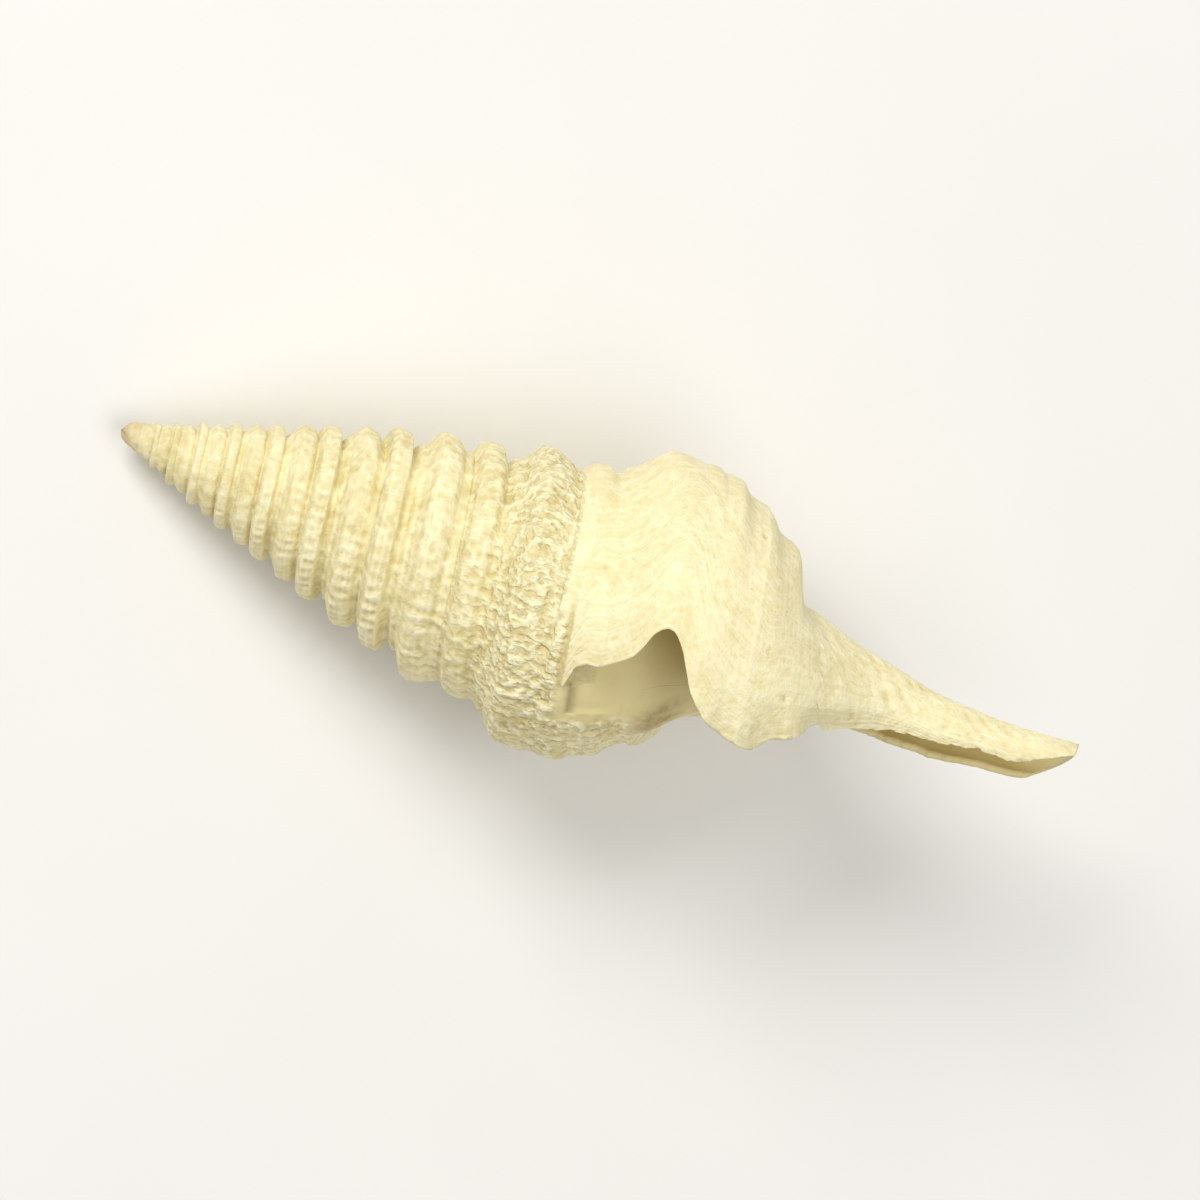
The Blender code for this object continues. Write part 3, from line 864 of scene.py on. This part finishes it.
def fine_shell():
    """The fine shell in its own frame, with the hollow, the canal and the resting flats cut."""
    body = add_object("body", body_mesh())
    fewer = body.modifiers.new("fewer", "DECIMATE")
    fewer.ratio = BODY_TRIANGLES / len(body.data.polygons)

    start = LIP_TURN - 360 * HOLLOW_TURNS_BACK
    loops = [hollow_loop(turn) for turn in np.linspace(start, GLAZE_END_TURN, HOLLOW_LOOPS)]
    hollow = add_object("hollow", loft([loop for loop, _ in loops], loops[0][1] - 1))
    loops = [canal_loop(place) for place in np.arange(*GUTTER_STRETCH)]
    canal = add_object("canal", loft([loop for loop, _ in loops], loops[0][1]))
    floor = bmesh.new()
    bmesh.ops.create_cube(floor, size=1.0)
    to_floor = Matrix.Translation((0, 0, -GROUND_SIZE[2] / 2)) @ Matrix.Diagonal((*GROUND_SIZE, 1))
    bmesh.ops.transform(floor, matrix=rest_matrix().inverted() @ to_floor, verts=floor.verts)
    ground = add_object("ground", floor)
    mark_inside(body.data, 0.0)
    for cutter, value in ((hollow, 1.0), (canal, 1.0), (ground, 0.0)):
        mark_inside(cutter.data, value)
        cut(body, cutter)

    shell = bpy.data.objects.new("shell_surface", baked(body, "shell_surface"))
    bpy.context.scene.collection.objects.link(shell)
    for used in (body, hollow, canal, ground):
        bpy.data.objects.remove(used, do_unlink=True)
    return shell


# How far past the lip a vertex still belongs to the last whorl, and the highest relief marked.
LIP_MARGIN = 1.5
MOST_RELIEF = 0.3


def mark_surface(data):
    """Store on the mesh what the material reads: growth, place, relief, and what is inside."""
    count = len(data.vertices)
    at = np.empty(count * 3)
    data.vertices.foreach_get("co", at)
    at = at.reshape(-1, 3)
    place = at[:, 0]
    up = at[:, 2] - along(BOW, place)
    radius = np.hypot(at[:, 1], up)
    turn = np.degrees(np.arctan2(-at[:, 1], up))
    turn = np.where(turn > LIP_TURN + LIP_MARGIN, turn - 360, turn)
    for _ in range(WHORLS):
        turn = np.where(place / keel_place(turn) < SUTURE, turn - 360, turn)
    across = place / keel_place(turn)
    height = np.clip((radius - outer_radius(turn, place)) / MM, -MOST_RELIEF, MOST_RELIEF)
    uncovered = under_glaze(turn, place)
    rough = roughness(turn, across) * uncovered / MOST_ROUGH
    inside = np.empty(count, np.float32)
    data.attributes["inside"].data.foreach_get("value", inside)
    within = np.maximum(inside, 1 - uncovered)
    data.attributes["inside"].data.foreach_set("value", within.astype(np.float32))
    for name, values in (
        ("turn", growth_turn(turn, across)),
        ("across", across),
        ("relief", height),
        ("place", place / MM),
        ("rough", rough),
    ):
        stored = data.attributes.new(name, "FLOAT", "POINT")
        stored.data.foreach_set("value", values.astype(np.float32))


# Materials.


class Nodes:
    """A material's node tree, with short calls to add to it."""

    def __init__(self, name):
        self.material = bpy.data.materials.new(name)
        self.material.use_nodes = True
        self.tree = self.material.node_tree
        self.shader = self.tree.nodes["Principled BSDF"]

    def put(self, socket, value):
        """Set a socket to a number or a colour, or link another node's socket to it."""
        if isinstance(value, bpy.types.NodeSocket):
            self.tree.links.new(value, socket)
        else:
            socket.default_value = value

    def add(self, kind, settings=(), **inputs):
        """Add a node with its settings and inputs."""
        node = self.tree.nodes.new(kind)
        for name, value in dict(settings).items():
            setattr(node, name, value)
        for name, value in inputs.items():
            key = int(name[1:]) if name[0] == "i" and name[1:].isdigit() else name.replace("_", " ")
            self.put(node.inputs[key], value)
        return node

    def marked(self, name):
        """A value stored on the mesh."""
        return self.add("ShaderNodeAttribute", {"attribute_name": name}).outputs["Fac"]

    def math(self, operation, a, b=0.0):
        """Arithmetic on one value or two."""
        return self.add("ShaderNodeMath", {"operation": operation}, i0=a, i1=b).outputs[0]

    def ranged(self, value, low, high, to_low=0.0, to_high=1.0):
        """Map a value's range onto another, and stop at its ends."""
        node = self.add(
            "ShaderNodeMapRange",
            i0=value,
            i1=low,
            i2=high,
            i3=to_low,
            i4=to_high,
        )
        return node.outputs[0]

    def blend(self, share, a, b):
        """Mix two colours."""
        node = self.tree.nodes.new("ShaderNodeMix")
        node.data_type = "RGBA"
        self.put(node.inputs[0], share)
        self.put(node.inputs[6], a)
        self.put(node.inputs[7], b)
        return node.outputs[2]

    def near(self, value, middle, reach):
        """1 at a middle value, and 0 further than a reach away."""
        away = self.math("ABSOLUTE", self.math("SUBTRACT", value, middle))
        return self.ranged(away, 0.3 * reach, reach, 1.0, 0.0)

    def speckle(self, where, scale, detail=2.0, roughness=0.5):
        """Noise from 0 to 1."""
        node = self.add("ShaderNodeTexNoise", Vector=where, Scale=scale, Detail=detail, Roughness=roughness)
        return node.outputs["Fac"]

    def streaks(self, turn, turn_scale, across, across_scale):
        """Noise from 0 to 1 in streaks along the lip or round the whorl, as the two scales say."""
        scaled = [self.math("MULTIPLY", *pair) for pair in ((turn, turn_scale), (across, across_scale))]
        where = self.add("ShaderNodeCombineXYZ", i0=scaled[0], i1=scaled[1])
        return self.speckle(where.outputs[0], 1.0, 2.0, 0.5)


def colour(red, green, blue):
    """A colour from the 0 to 255 values that a screen shows."""
    linear = [((v / 255 + 0.055) / 1.055) ** 2.4 if v > 10 else v / 255 / 12.92 for v in (red, green, blue)]
    return (*linear, 1.0)


CREAM = colour(238, 226, 178)
PALE = colour(246, 240, 202)
STRAW = colour(220, 205, 146)
TAN = colour(198, 180, 120)
FAWN = colour(190, 152, 102)
INSIDE = colour(232, 217, 162)
INSIDE_DEEP = colour(222, 206, 150)
BROWN = colour(150, 126, 84)

# A brown stain below the mouth, deepened with painted shade: its middle and reach, as a growth turn and a
# place in millimetres.
STAIN_AND_SHADE_TURN = (-204.0, 16.0)
STAIN_AND_SHADE_PLACE = (31.4, 1.3)

# The noise of the colours, in lumps a metre, and the depth of the bump.
CLOUDY_SCALE = 420.0
MOTTLED_SCALE = 1700.0
FINE_SCALE = 4200.0
VEIN_SCALE = 2300.0
GRUB_SCALE = 3000.0
STAIN_SCALE = 170.0
BUMP_DEPTH = 0.12 * MM


def shell_material():
    """Chalky cream shell: painted highlight on its ridges and painted shade in its hollows and crevices,
    stained, with a brown stain and painted shade below the mouth, and a tan inside.
    """
    n = Nodes("shell_surface")
    where = n.add("ShaderNodeTexCoord").outputs["Object"]
    across, turn = n.marked("across"), n.marked("turn")
    relief_mark, inside, place = n.marked("relief"), n.marked("inside"), n.marked("place")

    cloudy = n.speckle(where, CLOUDY_SCALE, 3.0, 0.6)
    mottled = n.speckle(where, MOTTLED_SCALE, 3.0, 0.6)
    fine = n.speckle(where, FINE_SCALE, 2.0, 0.5)
    rough = n.marked("rough")
    along_lip = n.streaks(turn, 0.9, across, 9.0)
    round_whorl = n.streaks(turn, 0.05, across, 140.0)
    wide = n.add("ShaderNodeVectorMath", {"operation": "MULTIPLY"}, i0=where, i1=tuple(WIDE_GRUBS))
    vein = n.math("ABSOLUTE", n.math("SUBTRACT", n.speckle(wide.outputs[0], VEIN_SCALE, 1.0, 0.5), 0.5))
    # Painted shade in the eroded band's crevices, along thin veins of noise.
    crevice_painted_shade = n.math("MULTIPLY", n.ranged(vein, 0.0, 0.06, 1.0, 0.0), n.ranged(rough, 0.15, 0.9))

    last_whorl = n.ranged(turn, -220.0, -120.0)
    base = n.blend(n.ranged(cloudy, 0.35, 0.65), STRAW, CREAM)
    base = n.blend(n.math("MULTIPLY", last_whorl, 0.6), base, CREAM)
    base = n.blend(n.ranged(mottled, 0.45, 0.60, 0.0, 0.5), base, PALE)
    base = n.blend(n.ranged(fine, 0.36, 0.50, 0.35, 0.0), base, STRAW)
    base = n.blend(n.ranged(along_lip, 0.52, 0.62, 0.0, 0.5), base, PALE)
    patchy = n.ranged(cloudy, 0.40, 0.60)
    base = n.blend(n.math("MULTIPLY", n.ranged(round_whorl, 0.54, 0.62, 0.0, 0.6), patchy), base, PALE)
    # Painted shade in the hollows and painted highlight on the ridges, from the relief's height.
    relief_painted_shading = n.ranged(relief_mark, -0.08, 0.08)
    base = n.blend(n.ranged(relief_painted_shading, 0.0, 0.5, 0.65, 0.0), base, TAN)
    base = n.blend(n.ranged(relief_painted_shading, 0.5, 1.0, 0.0, 0.65), base, PALE)
    base = n.blend(n.math("MULTIPLY", crevice_painted_shade, 0.4), base, TAN)
    grubs = n.speckle(wide.outputs[0], GRUB_SCALE, 1.5, 0.5)
    # On the eroded band, painted highlight where the grubs' bump rises and painted shade where it sinks.
    rough_painted_shading = n.ranged(rough, 0.1, 0.8, 0.1, 0.6)
    base = n.blend(n.math("MULTIPLY", n.ranged(grubs, 0.50, 0.60), rough_painted_shading), base, PALE)
    base = n.blend(n.math("MULTIPLY", n.ranged(grubs, 0.38, 0.48, 1.0, 0.0), rough_painted_shading), base, STRAW)
    stain = n.ranged(n.speckle(where, STAIN_SCALE, 2.0, 0.5), 0.62, 0.74, 0.0, 0.25)
    base = n.blend(stain, base, TAN)
    base = n.blend(n.ranged(place, 1.7, 2.9, 0.5, 0.0), base, FAWN)
    within = n.blend(n.ranged(cloudy, 0.3, 0.7), INSIDE_DEEP, INSIDE)
    base = n.blend(inside, base, within)
    # A brown stain below the mouth, darkened further as painted shade.
    stain_and_shade = n.math("MULTIPLY", n.near(turn, *STAIN_AND_SHADE_TURN), n.near(place, *STAIN_AND_SHADE_PLACE))
    base = n.blend(n.math("MULTIPLY", stain_and_shade, n.ranged(mottled, 0.3, 0.6, 0.3, 0.75)), base, BROWN)
    n.put(n.shader.inputs["Base Color"], base)
    n.put(n.shader.inputs["Roughness"], n.ranged(mottled, 0.3, 0.7, 0.5, 0.68))
    n.put(n.shader.inputs["Specular IOR Level"], 0.35)

    height = n.math("ADD", n.math("MULTIPLY", fine, 0.5), n.math("MULTIPLY", mottled, 0.6))
    height = n.math("ADD", height, n.math("MULTIPLY", along_lip, 0.2))
    height = n.math("ADD", height, n.math("MULTIPLY", round_whorl, 0.22))
    height = n.math("ADD", height, n.math("MULTIPLY", n.ranged(grubs, 0.4, 0.6), rough))
    outside = n.ranged(inside, 0.0, 1.0, 0.75, 0.08)
    bump = n.add("ShaderNodeBump", Strength=outside, Distance=BUMP_DEPTH, Height=height)
    n.put(n.shader.inputs["Normal"], bump.outputs[0])
    return n.material


def floor_material():
    """A plain pale floor."""
    n = Nodes("floor")
    where = n.add("ShaderNodeTexCoord").outputs["Object"]
    grain = n.speckle(where, 60.0, 2.0, 0.5)
    n.put(n.shader.inputs["Base Color"], n.blend(grain, colour(232, 231, 228), colour(236, 235, 232)))
    n.put(n.shader.inputs["Roughness"], 0.8)
    return n.material


# The stage.


def add_floor():
    """A wide pale floor under the shell."""
    mesh = bmesh.new()
    bmesh.ops.create_grid(mesh, x_segments=1, y_segments=1, size=FLOOR_SIZE)
    floor = add_object("floor", mesh)
    floor.data.materials.append(floor_material())


def view_axes():
    """The camera's right, up and backward directions in the shell's own frame."""
    dip = math.radians(AXIS_DIP)
    right = Vector((math.cos(dip), 0, math.sin(dip)))
    up = Vector((-math.sin(dip), 0, math.cos(dip)))
    return right, up, Vector((0, -1, 0))


def in_view(right, up, back):
    """A direction in the world from how far it goes right, up and towards the camera."""
    axes = view_axes()
    own = sum((axis * size for axis, size in zip(axes, (right, up, back))), Vector())
    return rest_matrix().to_3x3() @ own


def add_camera():
    """A long lens at the photograph's viewing angle and framing."""
    data = bpy.data.cameras.new("camera")
    data.sensor_width = SENSOR_WIDTH
    data.lens = SENSOR_WIDTH * CAMERA_DISTANCE / PICTURE_WIDTH
    data.clip_end = 10.0
    camera = bpy.data.objects.new("camera", data)
    bpy.context.scene.collection.objects.link(camera)
    right, up, back = (in_view(*axis) for axis in ((1, 0, 0), (0, 1, 0), (0, 0, 1)))
    turned = Matrix((right, up, back)).transposed().to_4x4()
    aim = rest_matrix() @ Vector(AIM)
    camera.matrix_world = Matrix.Translation(aim + back * CAMERA_DISTANCE) @ turned
    bpy.context.scene.camera = camera


def add_light(name, direction, distance, size, power, tint):
    """A soft square light that shines on the shell from a direction in the view."""
    data = bpy.data.lights.new(name, "AREA")
    data.size = size
    data.energy = power
    data.color = tint
    light = bpy.data.objects.new(name, data)
    bpy.context.scene.collection.objects.link(light)
    away = in_view(*direction).normalized()
    turned = away.to_track_quat("Z", "Y").to_matrix().to_4x4()
    light.matrix_world = Matrix.Translation(away * distance) @ turned


def set_colour_view():
    """Show the surfaces' colours as they are."""
    bpy.context.scene.view_settings.view_transform = "Standard"


def add_world():
    """An even pale light all round."""
    world = bpy.data.worlds.new("world")
    world.use_nodes = True
    background = world.node_tree.nodes["Background"]
    background.inputs["Color"].default_value = WORLD_COLOUR
    background.inputs["Strength"].default_value = WORLD_STRENGTH
    bpy.context.scene.world = world


def main():
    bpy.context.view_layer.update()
    shell = fine_shell()
    mark_surface(shell.data)
    shell.data.transform(rest_matrix())
    shell.data.materials.clear()
    shell.data.materials.append(shell_material())
    shell.data.shade_smooth()
    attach(shell, "root")
    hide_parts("shell")

    add_floor()
    add_camera()
    set_colour_view()
    add_world()
    add_light("key", *KEY_LIGHT)
    add_light("fill", *FILL_LIGHT)


main()
